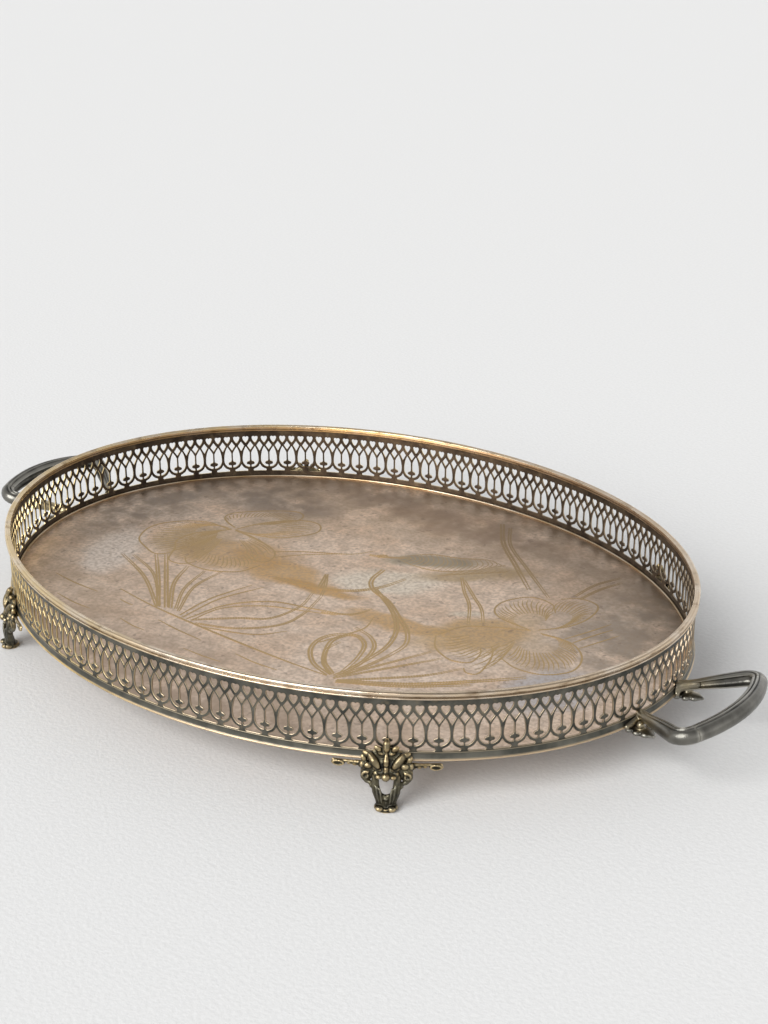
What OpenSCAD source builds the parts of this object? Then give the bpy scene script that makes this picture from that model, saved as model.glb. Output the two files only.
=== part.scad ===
// Oval gallery tray: a flat metal plate with a pierced gallery standing round
// its edge, a moulded top rail, four mask feet and a bail handle at each end.
// Millimetres. Z is up, X runs along the tray. The origin is on the table,
// under the middle of the plate, so the soles of the feet are at Z = 0.

/* [Tray] */
// Length of the tray over the top rail, without the handles
tray_l = 400; // [300:5:520]
// Width of the tray over the top rail
tray_w = 310; // [240:5:400]
// Height of the underside of the plate above the table
foot_h = 22.5; // [18:0.5:32]
// Height from the underside of the plate to the underside of the rail
wall_h = 31.5; // [26:0.5:42]

/* [Plate] */
// Thickness of the plate
plate_t = 1.2; // [0.8:0.1:2]

/* [Gallery] */
// Pierced units round the whole gallery, a multiple of four
units = 96; // [80:4:104]
// Thickness of the gallery strip
gallery_t = 0.9; // [0.7:0.1:1.2]
// Solid band left below the piercing, measured from the plate's underside
band_low = 4.1; // [3:0.1:5]
// Solid band left above the piercing
band_top = 3.8; // [3:0.1:5]
// Width of the bars between the openings
bar_w = 1.2; // [0.9:0.1:1.6]

/* [Top rail] */
// Height of the rail
rail_h = 3.5; // [3:0.1:5]
// How far the rail stands out past the gallery
rail_out = 1.7; // [1.4:0.1:4]
// How far the rail stands in past the gallery
rail_in = 0.5; // [0.4:0.1:1.5]
// Depth of the slot under the rail that takes the gallery's top edge
rail_slot = 1; // [0.6:0.1:1.6]

/* [Edge wires] */
// How far the outer edge wire stands out from the gallery
edge_out = 1.2; // [0.8:0.1:2]
// Height of the outer edge wire
edge_h = 1.7; // [1.4:0.1:3]
// Width of the inner wire that hides the joint of plate and gallery
bead_w = 1.2; // [0.8:0.1:2]
// Height of the inner wire
bead_h = 1; // [0.6:0.1:1.6]

/* [Feet] */
// Gallery unit that each foot is centred on, counted from the tray's end
foot_unit = 12; // [9:1:15]
// Height of the mask's crown above the underside of the plate
crown_h = 11.5; // [9:0.5:13]
// Width of the mask over its mane
mask_w = 23; // [20:0.5:27]
// How far the sole kicks out from the edge wire
toe_out = 3.6; // [2:0.2:6]
// Diameter of the sole
sole_d = 9.5; // [8:0.5:13]
// Reach of each side wing from the middle of the foot
wing_reach = 25; // [20:1:30]
// Thickness of the lug that is riveted under the plate
lug_t = 2; // [1.5:0.1:2.5]

/* [Handles] */
// Distance from the gallery's end to the middle of the grip, along the handle
handle_reach = 45; // [40:1:60]
// Distance between the two brackets of one handle
bracket_gap = 42; // [36:1:60]
// Width of the handle over the centres of its corners
corner_gap = 56; // [48:1:76]
// Radius of the handle's corners, to the centre of the bar
corner_r = 7; // [6:0.5:9]
// Radius of the bow of the grip
grip_r = 72; // [60:1:120]
// Thickness of the grip
grip_d = 8.2; // [6:0.2:9]
// Thickness of the arms
arm_d = 7.6; // [5:0.2:8]
// Upward slope of the handles in degrees
handle_tilt = 13; // [0:1:20]
// Diameter of the spigot between arm and grip, and of the arm's tenon
spigot_d = 3.2; // [2.6:0.1:4]
// Outside diameter of the bracket's socket
socket_d = 8.4; // [7.4:0.2:10]

/* [Rivets] */
// Diameter of every rivet's shank
rivet_d = 2.4; // [2:0.1:3]
// Gap round pins, rivets and spigots
fit_gap = 0.05; // [0.03:0.01:0.15]

/* [Hidden] */
$fn = 48;

brass = "#A08A5E";
dark_brass = "#5A5044";
silver = "#A59A90";
pewter = "#5E5F5E";

// Levels
plate_top = foot_h + plate_t;
rail_z = foot_h + wall_h;
gallery_top = rail_z + rail_slot;
tray_h = rail_z + rail_h;

// Half axes of the gallery's outer face
wall_a = tray_l / 2 - rail_out;
wall_b = tray_w / 2 - rail_out;

// Quarters of the tray, as the signs of X and Y
BACK_RIGHT = [1, 1];
BACK_LEFT = [-1, 1];
FRONT_LEFT = [-1, -1];
FRONT_RIGHT = [1, -1];
QUARTERS = [BACK_RIGHT, BACK_LEFT, FRONT_LEFT, FRONT_RIGHT];

// ---- The oval, cut into gallery units of equal length ----

arc_steps = 360;
per_quarter = units / 4;
function arc_speed(t) = norm([wall_a * sin(t), wall_b * cos(t)]) * PI / 180;
arc_step = 90 / arc_steps;
// Pairs of arc length and angle over the first quarter
arc_table = [
    for (i = 0, s = 0; i <= arc_steps; s = s + arc_speed((i + 0.5) * arc_step) * arc_step, i = i + 1)
        [s, i * arc_step]
];
quarter_arc = arc_table[arc_steps][0];
unit_w = quarter_arc / per_quarter;
function unit_angle(k) = lookup(k * unit_w, arc_table);

// A point of the oval at angle t, moved out along the normal
function oval_point(t, out) =
    let (n = [wall_b * cos(t), wall_a * sin(t)])
    [wall_a * cos(t), wall_b * sin(t)] + out * n / norm(n);

// The first quarter's points at one distance from the gallery's outer face
function quarter_points(out) = [for (k = [0:per_quarter]) oval_point(unit_angle(k), out)];

function flip(points, sx, sy) = [for (p = points) [p[0] * sx, p[1] * sy]];
function reverse(points) = [for (i = [len(points) - 1:-1:0]) points[i]];
function tail(points) = [for (i = [1:len(points) - 1]) points[i]];

// The whole oval, anticlockwise from its right end
function oval_points(out) =
    let (q = quarter_points(out))
    let (right_back = tail(q))
    let (left_back = tail(reverse(flip(q, -1, 1))))
    let (left_front = tail(flip(q, -1, -1)))
    let (right_front = tail(reverse(flip(q, 1, -1))))
    concat(right_back, left_back, left_front, right_front);

module ring(out, in, z, h) {
    translate([0, 0, z])
        linear_extrude(height = h)
            difference() {
                polygon(oval_points(out));
                polygon(oval_points(in));
            }
}

module in_quarter(q) {
    mirror([q[0] < 0 ? 1 : 0, 0, 0])
        mirror([0, q[1] < 0 ? 1 : 0, 0])
            children();
}

// Direction along the wall over unit k
function facet_turn(k) =
    let (run = oval_point(unit_angle(k + 1), 0) - oval_point(unit_angle(k), 0))
    atan2(run[1], run[0]);

// The frame of one facet: X along the wall, -Y straight out, on the face that
// stands "out" from the gallery
module on_facet(k, out) {
    mid = (oval_point(unit_angle(k), out) + oval_point(unit_angle(k + 1), out)) / 2;
    translate([mid[0], mid[1], 0])
        rotate([0, 0, facet_turn(k)])
            children();
}

// ---- Plate ----

lug_len = 14;
rivet_pitch = 9;
rivet_inset = 8;
head_d = 2 * rivet_d;
head_h = 1.1;
sink_d = rivet_d + 1.6;
sink_h = 0.8;

module rivet_hole() {
    translate([0, 0, foot_h - lug_t - 1])
        cylinder(d = rivet_d + 2 * fit_gap, h = lug_t + plate_t + 2);
    translate([0, 0, plate_top - sink_h])
        cylinder(d1 = rivet_d + 2 * fit_gap, d2 = sink_d + 2 * fit_gap, h = sink_h + 0.01);
}

// Domed under the lug, countersunk flush with the plate's top
module rivet() {
    shank_low = foot_h - lug_t;
    translate([0, 0, shank_low - 0.2])
        cylinder(d = rivet_d, h = lug_t + plate_t - sink_h + 0.2);
    translate([0, 0, plate_top - sink_h])
        cylinder(d1 = rivet_d, d2 = sink_d, h = sink_h);
    translate([0, 0, shank_low])
        mirror([0, 0, 1])
            intersection() {
                cylinder(d = head_d, h = head_h);
                translate([0, 0, head_h - head_d / 2 - 0.6])
                    sphere(d = head_d + 1.2);
            }
}

module at_foot_rivets() {
    on_facet(foot_unit, edge_out)
        for (side = [-1, 1])
            translate([side * rivet_pitch / 2, edge_out + rivet_inset, 0])
                children();
}

module at_bracket_rivets() {
    in_bracket()
        for (row = [0, 1])
            translate([-rivet_inset + 2 - row * 7, 0, 0])
                children();
}

module floor_plate() {
    color(silver)
        difference() {
            translate([0, 0, foot_h])
                linear_extrude(height = plate_t)
                    polygon(oval_points(0));
            for (q = QUARTERS)
                in_quarter(q) {
                    at_foot_rivets() rivet_hole();
                    at_bracket_rivets() rivet_hole();
                }
        }
}

// ---- Gallery ----

// Heights in the pattern, above the plate's underside, as shares of the wall
drop_low = band_low + 0.1 * wall_h;
drop_tip = 0.74 * wall_h;
pierce_top = wall_h - band_top;

// Outlines are in the plane of the wall: X along it, Y up from the plate
module drop_outline() {
    w = (unit_w - 1.4 * bar_w) / 2;
    h = drop_tip - drop_low;
    polygon([
        [0, drop_tip], [-0.42 * w, drop_low + 0.78 * h], [-0.86 * w, drop_low + 0.5 * h],
        [-w, drop_low + 0.3 * h], [-0.82 * w, drop_low + 0.12 * h], [-0.4 * w, drop_low],
        [0.4 * w, drop_low], [0.82 * w, drop_low + 0.12 * h], [w, drop_low + 0.3 * h],
        [0.86 * w, drop_low + 0.5 * h], [0.42 * w, drop_low + 0.78 * h]
    ]);
}

module tent_outline() {
    w = unit_w / 2 - 0.7 * bar_w;
    polygon([[-w, band_low], [w, band_low], [0.24 * w, drop_low + 0.4], [-0.24 * w, drop_low + 0.4]]);
}

module diamond_outline() {
    low = drop_low + 0.66 * (drop_tip - drop_low);
    top = pierce_top - 0.6;
    w = 0.25 * unit_w;
    polygon([[0, low], [w, (low + top) / 2], [0, top], [-w, (low + top) / 2]]);
}

module heart_outline() {
    w = 0.16 * unit_w;
    low = drop_tip + bar_w;
    polygon([[0, low], [w, pierce_top - 0.8], [w / 2, pierce_top], [-w / 2, pierce_top], [-w, pierce_top - 0.8]]);
}

module pierce(outline_depth) {
    translate([0, outline_depth / 2, foot_h])
        rotate([90, 0, 0])
            linear_extrude(height = outline_depth)
                children();
}

// One quarter of the gallery, butted to its neighbours at its two ends
module gallery(q) {
    cut = 4 * gallery_t;
    color(dark_brass)
        in_quarter(q)
            difference() {
                translate([0, 0, plate_top])
                    linear_extrude(height = gallery_top - plate_top)
                        polygon(concat(quarter_points(0), reverse(quarter_points(-gallery_t))));
                for (k = [0:per_quarter - 1])
                    on_facet(k, 0) {
                        pierce(cut) drop_outline();
                        pierce(cut) heart_outline();
                    }
                for (k = [0.5:1:per_quarter - 1.5])
                    on_facet(k, 0) {
                        pierce(cut) tent_outline();
                        pierce(cut) diamond_outline();
                    }
            }
}

// ---- Rail and wires ----

module top_rail() {
    inner = -gallery_t - rail_in;
    lip = 0.3 * rail_h;
    neck = 0.12 * rail_h;
    step = 0.5;
    color(brass)
        difference() {
            union() {
                ring(rail_out - step, inner, rail_z, lip);
                ring(rail_out - 2 * step, inner, rail_z + lip, neck);
                ring(rail_out, inner, rail_z + lip + neck, rail_h - lip - neck - step);
                ring(rail_out - step, inner + step, tray_h - step, step);
            }
            ring(fit_gap, -gallery_t - fit_gap, rail_z - 1, rail_slot + 1);
        }
}

module edge_wire() {
    color(brass)
        ring(edge_out, 0, foot_h, edge_h);
}

module inner_wire() {
    color(brass)
        ring(-gallery_t, -gallery_t - bead_w, plate_top, bead_h);
}

// ---- Feet ----

// Everything behind the foot's back plane and above the plate's underside
module behind_foot() {
    translate([-50, 0, foot_h])
        cube([100, 50, 60]);
    translate([-50, 0, foot_h - lug_t - 10])
        cube([100, 50, 10]);
}

module ball(x, y, z, d) {
    translate([x, y, z])
        sphere(d = d);
}

// The wall falls away beside the foot, so each wing leans back with it and
// keeps a gap that it never crosses
wing_gap = 0.4;
wing_t = 2.2;
wing_h = 3;
wing_root = 6;
foot_turn = facet_turn(foot_unit + 1) - facet_turn(foot_unit);
wall_r = unit_w / (foot_turn * PI / 180);
wing_lean = atan(0.8 * sqrt(2 * wing_gap / wall_r));

module wing(side) {
    rotate([0, 0, side * wing_lean])
        translate([side > 0 ? wing_root : -wing_reach, -wing_gap - wing_t, foot_h - 1.2])
            cube([wing_reach - wing_root, wing_t, wing_h]);
}

module mask() {
    head_d = 0.7 * mask_w;
    head_z = foot_h + crown_h - head_d / 2;
    mane_d = 0.3 * mask_w;
    mane_x = (mask_w - mane_d) / 2;
    ball(0, -1.5, head_z, head_d);
    ball(0, -1.2 - head_d / 2, head_z - 0.5, 4.6);
    for (side = [-1, 1]) {
        ball(side * mane_x, -1.6, head_z + 1.5, mane_d);
        ball(side * 0.9 * mane_x, -1.8, head_z - 5, mane_d);
        ball(side * 0.35 * mask_w / 2, -0.32 * head_d - 1.5, head_z + 2.6, 4.4);
        ball(side * 0.3 * mask_w / 2, -0.36 * head_d - 1.5, head_z - 3.2, 5);
    }
}

module leg() {
    jaw_r = 0.28 * mask_w - 1.6;
    jaw_z = 0.62 * foot_h;
    translate([0, -toe_out - 0.4, jaw_z])
        rotate([90, 0, 0])
            rotate_extrude()
                translate([jaw_r, 0])
                    circle(d = 3.8);
    translate([0, -toe_out, 1.6])
        cylinder(d1 = sole_d - 1, d2 = 7.4, h = jaw_z - jaw_r - 0.6);
    translate([0, -toe_out, 0])
        cylinder(d = sole_d, h = 1.8);
    for (side = [-1, 0, 1])
        ball(side * 2.6, -toe_out - 0.34 * sole_d, 3, 3.4);
    ball(0, -2.2, foot_h - 2.6, 7.6);
}

module foot(q) {
    color(brass)
        in_quarter(q)
            difference() {
                on_facet(foot_unit, edge_out)
                    union() {
                        difference() {
                            union() {
                                mask();
                                leg();
                                wing(-1);
                                wing(1);
                            }
                            behind_foot();
                        }
                        translate([-rivet_pitch, -2, foot_h - lug_t])
                            cube([2 * rivet_pitch, lug_len + 2, lug_t]);
                    }
                at_foot_rivets() rivet_hole();
            }
}

module foot_rivets() {
    color(brass)
        for (q = QUARTERS)
            in_quarter(q)
                at_foot_rivets() rivet();
}

// ---- Handles ----

// The handle lies in a sloping plane hinged on the tray's end: X away from the
// tray, Y across it. Its outline is a shallow bow between two round corners.
grip_cx = handle_reach - grip_r;
corner_y = corner_gap / 2;
corner_swing = asin(corner_y / (grip_r - corner_r));
corner_x = grip_cx + (grip_r - corner_r) * cos(corner_swing);
bracket_y = bracket_gap / 2;
bracket_t = asin(bracket_y / wall_b);
bracket_p = oval_point(bracket_t, 0);
tenon_x = 7;
to_corner = [corner_x - tenon_x, corner_y - bracket_y];
arm_spread = atan2(to_corner[1], to_corner[0]) + asin(corner_r / norm(to_corner));
arm_len = sqrt(to_corner * to_corner - corner_r * corner_r);
tenon_len = 5;
spigot_len = 5;
collar_w = 1.4;
bar_lift = 3.4;

module in_handle(side) {
    mirror([side < 0 ? 1 : 0, 0, 0])
        translate([bracket_p[0], 0, foot_h + bar_lift])
            rotate([0, -handle_tilt, 0])
                children();
}

module on_arm(q) {
    in_handle(q[0])
        mirror([0, q[1] < 0 ? 1 : 0, 0])
            children();
}

// At the tenon's end of one arm, X along the arm
module at_tenon() {
    translate([tenon_x, bracket_y, 0])
        rotate([0, 0, arm_spread])
            children();
}

// At the joint of arm and grip, X along the grip and away from the corner
module at_spigot() {
    translate([grip_cx, 0, 0])
        rotate([0, 0, corner_swing])
            translate([grip_r, 0, 0])
                rotate([0, 0, -90])
                    children();
}

module rod(d, from, to) {
    translate([from, 0, 0])
        rotate([0, 90, 0])
            cylinder(d = d, h = to - from);
}

module grip(side) {
    color(pewter)
        in_handle(side)
            difference() {
                translate([grip_cx, 0, 0])
                    rotate([0, 0, -corner_swing])
                        rotate_extrude(angle = 2 * corner_swing)
                            translate([grip_r, 0])
                                circle(d = grip_d);
                for (end = [0, 1])
                    mirror([0, end, 0])
                        at_spigot()
                            rod(spigot_d + 2 * fit_gap, -1, spigot_len + fit_gap);
            }
}

// A round corner, thicker than the straight leg that runs on into it, with a
// collar where it meets the grip
module arm(q) {
    leg_d = arm_d - 0.8;
    color(pewter)
        on_arm(q) {
            translate([corner_x, corner_y, 0])
                rotate([0, 0, corner_swing])
                    rotate_extrude(angle = 90 + arm_spread - corner_swing)
                        translate([corner_r, 0])
                            circle(d = arm_d);
            at_tenon() {
                rod(leg_d, 0, arm_len + 1);
                rod(spigot_d, -tenon_len, 1);
            }
            at_spigot() {
                rod(spigot_d, -0.6, spigot_len);
                rod(grip_d + 0.5, -collar_w, 0);
            }
        }
}

// ---- Brackets ----

// At the gallery beside one bracket: X straight out, at the tray's own level
module in_bracket() {
    turn = atan2(wall_a * sin(bracket_t), wall_b * cos(bracket_t));
    translate([bracket_p[0], bracket_p[1], 0])
        rotate([0, 0, turn])
            children();
}

module leaf_outline() {
    polygon([
        [-18, 0], [-14, 3.6], [-8, 5.2], [-2, 4.8], [4, 5.4], [9, 3], [12, 0],
        [9, -3], [4, -5.4], [-2, -4.8], [-8, -5.2], [-14, -3.6]
    ]);
}

// A leaf under the plate, a web up past the edge wire and a socket for the arm
module bracket(q) {
    web_x = edge_out + 0.3;
    web_t = 4.4;
    web_w = 8;
    color(pewter)
        difference() {
            union() {
                on_arm(q)
                    at_tenon()
                        rod(socket_d, -tenon_len - 1.2, 0);
                in_quarter(q)
                    in_bracket() {
                        translate([0, 0, foot_h - lug_t])
                            linear_extrude(height = lug_t)
                                leaf_outline();
                        translate([web_x, -web_w / 2, foot_h - lug_t])
                            cube([web_t, web_w, lug_t + bar_lift]);
                    }
            }
            on_arm(q)
                at_tenon() {
                    rod(spigot_d + 2 * fit_gap, -tenon_len - fit_gap, 1);
                    rod(socket_d + 2, 0, 10);
                }
            in_quarter(q) {
                in_bracket()
                    translate([web_x - 20, -15, foot_h])
                        cube([20, 30, 30]);
                at_bracket_rivets() rivet_hole();
            }
        }
}

module bracket_rivets() {
    color(brass)
        for (q = QUARTERS)
            in_quarter(q)
                at_bracket_rivets() rivet();
}

floor_plate();
gallery(BACK_RIGHT);  // gallery_back_right
gallery(BACK_LEFT);  // gallery_back_left
gallery(FRONT_LEFT);  // gallery_front_left
gallery(FRONT_RIGHT);  // gallery_front_right
top_rail();
edge_wire();
inner_wire();
foot(BACK_RIGHT);  // foot_back_right
foot(BACK_LEFT);  // foot_back_left
foot(FRONT_LEFT);  // foot_front_left
foot(FRONT_RIGHT);  // foot_front_right
foot_rivets();
bracket(BACK_RIGHT);  // bracket_right_back
bracket(FRONT_RIGHT);  // bracket_right_front
bracket(BACK_LEFT);  // bracket_left_back
bracket(FRONT_LEFT);  // bracket_left_front
arm(BACK_RIGHT);  // arm_right_back
arm(FRONT_RIGHT);  // arm_right_front
arm(BACK_LEFT);  // arm_left_back
arm(FRONT_LEFT);  // arm_left_front
grip(1);  // grip_right
grip(-1);  // grip_left
bracket_rivets();
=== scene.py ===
"""Oval gallery tray: an engraved silver-plated floor, a pierced gallery under a brass rail, four cast
mask feet and a pewter bail handle at each end. X runs along the tray, Y to its back and Z up from the
table. Shapes are made in millimetres, and finish_piece and the materials turn them to metres."""
import math

import bmesh
import bpy
import numpy as np
from mathutils import Matrix, Vector


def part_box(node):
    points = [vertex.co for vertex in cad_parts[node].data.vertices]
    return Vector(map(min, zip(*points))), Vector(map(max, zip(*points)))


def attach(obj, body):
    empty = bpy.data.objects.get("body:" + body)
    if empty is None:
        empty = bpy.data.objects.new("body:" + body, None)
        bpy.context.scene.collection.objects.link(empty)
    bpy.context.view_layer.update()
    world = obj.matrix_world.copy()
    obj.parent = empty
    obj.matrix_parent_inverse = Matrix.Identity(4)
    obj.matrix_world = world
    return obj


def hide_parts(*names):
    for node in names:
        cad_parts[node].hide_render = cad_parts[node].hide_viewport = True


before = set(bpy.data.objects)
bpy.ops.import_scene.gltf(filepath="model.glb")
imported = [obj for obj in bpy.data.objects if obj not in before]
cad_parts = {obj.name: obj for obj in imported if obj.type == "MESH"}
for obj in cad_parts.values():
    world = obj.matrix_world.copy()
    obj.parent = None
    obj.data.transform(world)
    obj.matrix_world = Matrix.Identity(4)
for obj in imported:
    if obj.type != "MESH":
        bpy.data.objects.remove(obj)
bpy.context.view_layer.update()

MM = 0.001

# ---- Sizes read from the frame ----

plate_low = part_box("floor_plate")[0][2] / MM
plate_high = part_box("floor_plate")[1][2] / MM
wall_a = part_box("floor_plate")[1][0] / MM
wall_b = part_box("floor_plate")[1][1] / MM
rail_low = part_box("top_rail")[0][2] / MM
rail_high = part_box("top_rail")[1][2] / MM
rail_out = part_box("top_rail")[1][0] / MM - wall_a
edge_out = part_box("edge_wire")[1][0] / MM - wall_a
wall_h = rail_low - plate_low

# Sizes that repeat the model's own
GALLERY_T = 0.9
PER_QUARTER = 24
FOOT_UNIT = 12
RAIL_IN = 0.5
RAIL_SLOT = 1
HANDLE_TILT = math.radians(13)
HANDLE_REACH = 45
GRIP_R = 72
CORNER_R = 7
CORNER_Y = 28
BRACKET_Y = 21
TENON_X = 7
BAR_LIFT = 3.4

# Sizes of the finer shapes made here
GRIP_D = 8.4
ARM_D = 8.0
FLANGE_H = 4.5
CHAMFER = 0.27
LINE_W = 1.3
# Half the pitch of the wriggle cut
TOOTH = 0.7
# Distance at which a cut across a shape still takes a point as lying on it
ON_PLANE = 0.0005

# Patches of a noise of scale 1 are about this wide, in metres
NOISE_PATCH = 0.6

# Signs of X and Y that turn a shape made in the back right quarter into each of its copies
QUARTERS = {
    "back_right": (1, 1),
    "back_left": (-1, 1),
    "front_left": (-1, -1),
    "front_right": (1, -1),
}
HANDLE_ENDS = {
    "right_back": (1, 1),
    "right_front": (1, -1),
    "left_back": (-1, 1),
    "left_front": (-1, -1),
}

# ---- The oval ----

# Length along the first quarter of the wall, against the angle
arc_angles = np.linspace(0, math.pi / 2, 721)
between = (arc_angles[1:] + arc_angles[:-1]) / 2
speed = np.hypot(wall_a * np.sin(between), wall_b * np.cos(between))
arc_lengths = np.concatenate([[0], np.cumsum(speed * np.diff(arc_angles))])
quarter_len = float(arc_lengths[-1])
pitch = quarter_len / PER_QUARTER


def wall_frame(length):
    """The wall's frame at a length along the first quarter: X out, Y along, Z up, on the table's level."""
    quarter = math.floor(length / quarter_len)
    rest = length - quarter * quarter_len
    if quarter % 2:
        rest = quarter_len - rest
    angle = float(np.interp(rest, arc_lengths, arc_angles))
    if quarter % 2:
        angle = math.pi - angle
    angle += math.pi * (quarter // 2)
    normal = Vector((wall_b * math.cos(angle), wall_a * math.sin(angle), 0)).normalized()
    along = Vector((-normal.y, normal.x, 0))
    place = Vector((wall_a * math.cos(angle), wall_b * math.sin(angle), 0))
    return Matrix((
        (normal.x, along.x, 0, place.x),
        (normal.y, along.y, 0, place.y),
        (0, 0, 1, 0),
        (0, 0, 0, 1),
    ))


def in_quarter(signs):
    """Mirrors a shape made in the back right quarter."""
    return Matrix.Diagonal((signs[0], signs[1], 1, 1))


# ---- Materials ----

def colour(hex_value):
    """An sRGB hex colour as linear RGBA."""
    parts = [int(hex_value[i:i + 2], 16) / 255 for i in (1, 3, 5)]
    linear = [p / 12.92 if p <= 0.04045 else ((p + 0.055) / 1.055) ** 2.4 for p in parts]
    return (*linear, 1.0)


def add_node(material, kind, inputs=None, **settings):
    """A node with its settings, and its inputs linked, or set to a value or a hex colour."""
    node = material.node_tree.nodes.new(kind)
    for name, value in settings.items():
        setattr(node, name, value)
    for socket, value in (inputs or {}).items():
        if isinstance(value, bpy.types.NodeSocket):
            material.node_tree.links.new(value, node.inputs[socket])
        else:
            node.inputs[socket].default_value = colour(value) if isinstance(value, str) else value
    return node


def new_material(name, **sockets):
    """A material with its shader's own sockets set, and the coordinates that its patterns read."""
    material = bpy.data.materials.new(name)
    material.use_nodes = True
    shader = material.node_tree.nodes["Principled BSDF"]
    for socket, value in sockets.items():
        shader.inputs[socket].default_value = value
    return material, add_node(material, "ShaderNodeTexCoord").outputs["Object"]


def coats(material, under, *layers):
    """Colours laid one over another; a layer is its colour and the masks whose product it follows."""
    tint = under
    for over, strength, *masks in layers:
        for mask in masks:
            strength = add_node(
                material, "ShaderNodeMath", {0: strength, 1: mask}, operation="MULTIPLY").outputs[0]
        # Sockets 6 and 7 are the mix's two colours, and output 2 is its colour
        tint = add_node(
            material, "ShaderNodeMix", {0: strength, 6: tint, 7: over}, data_type="RGBA").outputs[2]
    return tint


def surface(material, tint, bump, roughness=None):
    """Lays on a colour, a bump (its height, depth in mm and strength) and a roughness (its factor and
    lowest and highest value)."""
    shader = material.node_tree.nodes["Principled BSDF"]
    links = material.node_tree.links
    links.new(tint, shader.inputs["Base Color"])
    height, depth, strength = bump
    relief = add_node(material, "ShaderNodeBump", {
        "Height": height, "Strength": strength, "Distance": depth * MM})
    links.new(relief.outputs["Normal"], shader.inputs["Normal"])
    if roughness:
        factor, low, high = roughness
        spread = add_node(material, "ShaderNodeMapRange", {"Value": factor, "To Min": low, "To Max": high})
        links.new(spread.outputs["Result"], shader.inputs["Roughness"])


def grain(material, where, size, detail, stretch=(1, 1, 1), contrast=(0.35, 0.65)):
    """Cloudy noise, 0 to 1, whose patches are about size mm across."""
    place = add_node(material, "ShaderNodeMapping", {"Vector": where, "Scale": stretch})
    noise = add_node(material, "ShaderNodeTexNoise", {
        "Vector": place.outputs[0], "Scale": NOISE_PATCH / (size * MM), "Detail": detail})
    spread = add_node(material, "ShaderNodeMapRange", {
        "Value": noise.outputs["Fac"], "From Min": contrast[0], "From Max": contrast[1]})
    return spread.outputs["Result"]


def wavy(material, where, size, reach):
    """Coordinates pushed up to reach mm about by noise, so that patches get ragged edges."""
    noise = add_node(material, "ShaderNodeTexNoise", {
        "Vector": where, "Scale": NOISE_PATCH / (size * MM), "Detail": 4})
    push = add_node(material, "ShaderNodeVectorMath", {
        0: noise.outputs["Color"], 1: (0.5, 0.5, 0.5)}, operation="SUBTRACT")
    pushed = add_node(material, "ShaderNodeVectorMath", {
        0: push.outputs[0], "Scale": 2 * reach * MM}, operation="SCALE")
    moved = add_node(material, "ShaderNodeVectorMath", {0: where, 1: pushed.outputs[0]}, operation="ADD")
    return moved.outputs[0]


def spot(material, where, centre, size, turn=0.0, soft=0.5):
    """A soft oval patch, 1 inside and 0 outside, in millimetres and degrees."""
    place = add_node(material, "ShaderNodeMapping", {
        "Vector": where, "Location": [c * MM for c in centre] + [0],
        "Rotation": (0, 0, math.radians(turn)), "Scale": [s * MM for s in size] + [1]},
        vector_type="TEXTURE")
    flat = add_node(material, "ShaderNodeVectorMath", {
        0: place.outputs[0], 1: (1, 1, 0)}, operation="MULTIPLY")
    radius = add_node(material, "ShaderNodeVectorMath", {0: flat.outputs[0]}, operation="LENGTH")
    mask = add_node(material, "ShaderNodeMapRange", {
        "Value": radius.outputs["Value"], "From Min": 1 - soft, "From Max": 1 + soft,
        "To Min": 1, "To Max": 0}, interpolation_type="SMOOTHSTEP")
    return mask.outputs["Result"]


def rising(material, where, axis, low, high):
    """A soft step along one axis: 0 at the low place and 1 at the high one, in millimetres."""
    place = add_node(material, "ShaderNodeSeparateXYZ", {0: where}).outputs[axis]
    step = add_node(material, "ShaderNodeMapRange", {
        "Value": place, "From Min": low * MM, "From Max": high * MM}, interpolation_type="SMOOTHSTEP")
    return step.outputs["Result"]


def near_level(material, where, level, reach):
    """1 near one height in millimetres, 0 away from it."""
    height = add_node(material, "ShaderNodeSeparateXYZ", {0: where}).outputs["Z"]
    off = add_node(material, "ShaderNodeMath", {0: height, 1: level * MM}, operation="SUBTRACT")
    size = add_node(material, "ShaderNodeMath", {0: off.outputs[0]}, operation="ABSOLUTE")
    near = add_node(material, "ShaderNodeMapRange", {
        "Value": size.outputs[0], "From Min": 0.5 * reach * MM, "From Max": reach * MM,
        "To Min": 1, "To Max": 0})
    return near.outputs["Result"]


def ridges(material, low, high):
    """1 on raised edges, where hands and polishing cloths take the patina off."""
    bend = add_node(material, "ShaderNodeNewGeometry").outputs["Pointiness"]
    rubbed = add_node(material, "ShaderNodeMapRange", {
        "Value": bend, "From Min": low, "From Max": high}, interpolation_type="SMOOTHSTEP")
    return rubbed.outputs["Result"]


# Darker patches on the plate: stains, a strip along the back, and painted shade of the front gallery along
# the front wall, as centre, size, colour and strength
DARK_PATCHES_AND_SHADE = [
    ((-20, 116), (90, 16), "#8A7462", 0.55), ((152, 62), (42, 62), "#8A8074", 0.7),
    ((-168, 30), (22, 60), "#83776C", 0.75), ((-118, 78), (44, 22), "#77695D", 0.7),
    # The band at (0, -158) is painted shade of the front gallery on the floor behind it, with some dirt
    # along the edge
    ((0, -158), (230, 60), "#A8937F", 0.8), ((-150, -100), (70, 44), "#B0997F", 0.55),
]
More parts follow.
